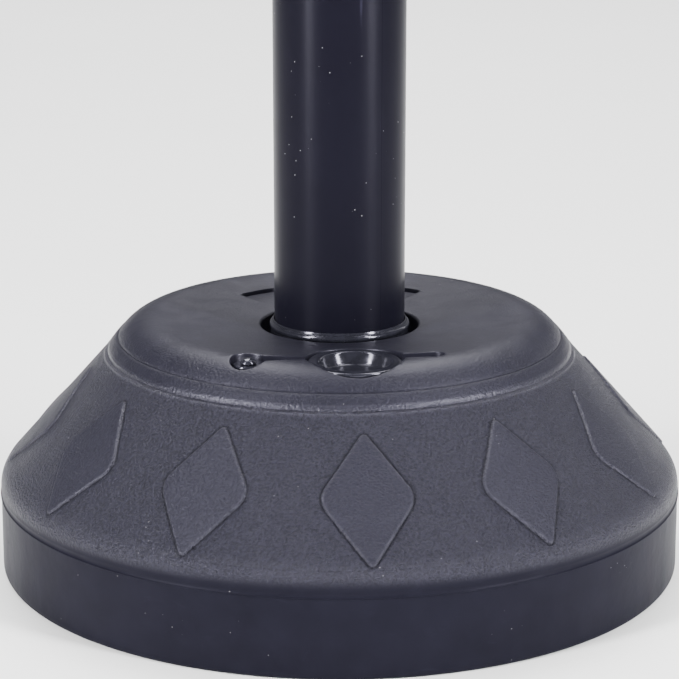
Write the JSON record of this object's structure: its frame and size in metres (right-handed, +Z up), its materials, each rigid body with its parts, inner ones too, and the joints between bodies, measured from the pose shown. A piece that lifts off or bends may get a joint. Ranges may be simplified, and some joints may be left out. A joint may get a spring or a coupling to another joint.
{
  "type": "tetherball set",
  "caption": "Fillable round base with raised diamonds and a strapped filler plug, a black sectional pole in its well, and a swivel eye with a rope shackle on top.",
  "frame": {"origin": "middle of the base on the surface that it stands on", "axes": "+Z up along the pole, -Y towards the filler plug, +X towards the side on which the shackle lies"},
  "size_m": [0.4, 0.4, 2.1109],
  "materials": {
    "moulded_black": "blow-moulded polyethylene, fine moulded grain on the cone, smoother top",
    "soft_vinyl": "flexible moulded vinyl, glossy",
    "black_paint": "black powder coat, satin",
    "hard_nylon": "moulded nylon, satin",
    "bright_zinc": "bright zinc plate",
    "spring_steel": "oiled spring steel"
  },
  "bodies": {
    "base": {"base_tank": "moulded_black", "strap_stud": "soft_vinyl", "plug_strap": "soft_vinyl", "pole_sleeve": "soft_vinyl", "foot_plug": "hard_nylon", "foot_bolt": "bright_zinc", "foot_washer": "bright_zinc", "foot_lock_washer": "spring_steel", "foot_nut": "bright_zinc", "pole_lower": "black_paint", "pole_middle": "black_paint", "pole_upper": "black_paint", "coupler_lower": "hard_nylon", "coupler_upper": "hard_nylon", "rivet_lower_front": "bright_zinc", "rivet_lower_back": "bright_zinc", "rivet_upper_front": "bright_zinc", "rivet_upper_back": "bright_zinc", "snap_spring_lower": "spring_steel", "snap_spring_upper": "spring_steel", "top_cap": "hard_nylon", "swivel_bush": "hard_nylon", "swivel_washer_top": "bright_zinc"},
    "plug": {"filler_plug": "soft_vinyl"},
    "button_lower": {"snap_pin_lower": "bright_zinc"},
    "button_upper": {"snap_pin_upper": "bright_zinc"},
    "swivel": {"swivel_eye": "bright_zinc", "swivel_washer_low": "bright_zinc", "swivel_lock_nut": "bright_zinc"},
    "shackle": {"rope_shackle": "bright_zinc", "shackle_pin": "bright_zinc"}
  },
  "joints": [
    {"name": "plug_pull", "type": "slide", "parent": "base", "child": "plug", "axis": [0, 0, 1], "range_m": [0, 0.024]},
    {"name": "button_lower_press", "type": "slide", "parent": "base", "child": "button_lower", "axis": [0, 1, 0], "range_m": [0, 0.0055], "stiffness_N_per_m": 900, "springref_m": -0.004, "deforming": ["snap_spring_lower"]},
    {"name": "button_upper_press", "type": "slide", "parent": "base", "child": "button_upper", "axis": [0, 1, 0], "range_m": [0, 0.0055], "stiffness_N_per_m": 900, "springref_m": -0.004, "deforming": ["snap_spring_upper"]},
    {"name": "swivel_turn", "type": "hinge", "parent": "base", "child": "swivel", "pos_m": [0, 0, 2.0929], "axis": [0, 0, 1], "continuous": true},
    {"name": "shackle_swing", "type": "hinge", "parent": "swivel", "child": "shackle", "pos_m": [0, 0, 2.0865], "axis": [0, -1, 0], "range_deg": [0, 240]}
  ]
}
